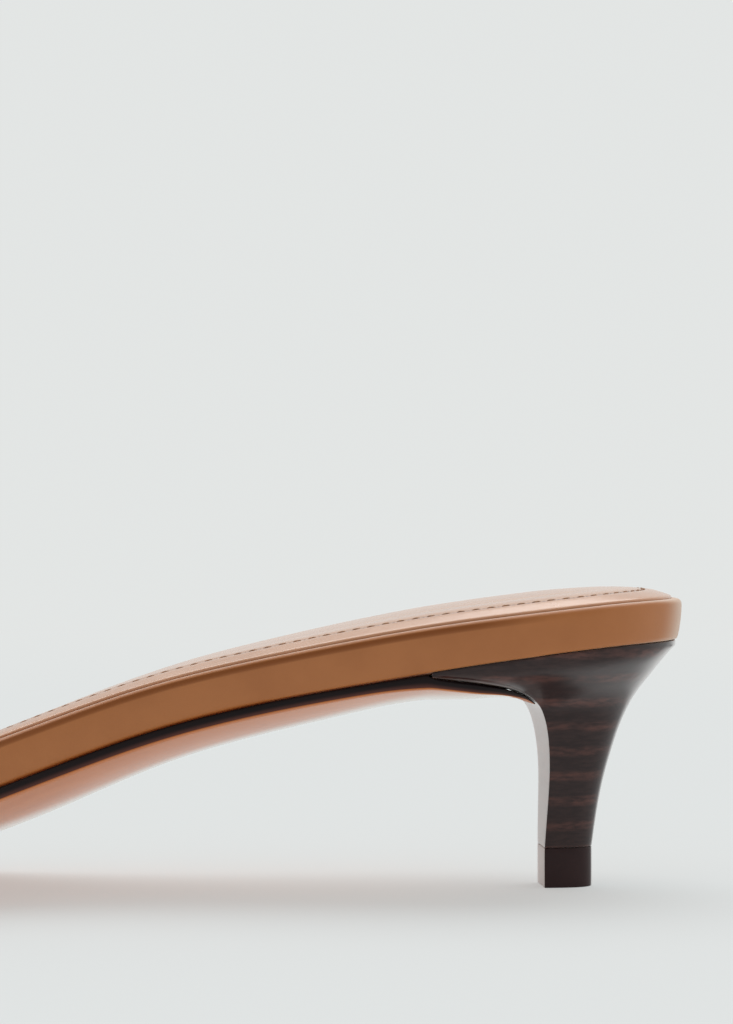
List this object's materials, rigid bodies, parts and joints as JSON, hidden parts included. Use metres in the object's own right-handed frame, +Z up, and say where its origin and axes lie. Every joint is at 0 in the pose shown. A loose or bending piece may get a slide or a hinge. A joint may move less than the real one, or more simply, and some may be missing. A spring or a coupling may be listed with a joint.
{
  "type": "heeled slide sandal",
  "caption": "Open slide sandal on a low slim heel, with a wrapped footbed, a padded sock and one broad plain band over the foot.",
  "frame": {"origin": "on the floor plane, under the middle of the shoe's bounding box", "axes": "+X to the toe, +Y to the inner side of the right foot, +Z up"},
  "size_m": [0.241, 0.0803, 0.065],
  "materials": {
    "wrapped_leather": "smooth tan calf, fine grain, satin",
    "sock_leather": "smooth tan lining leather, padded, topstitched, satin sheen",
    "band_leather": "smooth tan calf with folded edges, satin",
    "sole_leather": "polished tan sole leather with a dark painted edge",
    "stacked_heel": "dark brown stacked leather cover, polished",
    "tip_rubber": "dark brown hard rubber"
  },
  "bodies": {
    "root": {"footbed": "wrapped_leather", "insole": "sock_leather", "upper": "band_leather", "outsole": "sole_leather", "heel": "stacked_heel", "top_piece": "tip_rubber"}
  },
  "joints": []
}
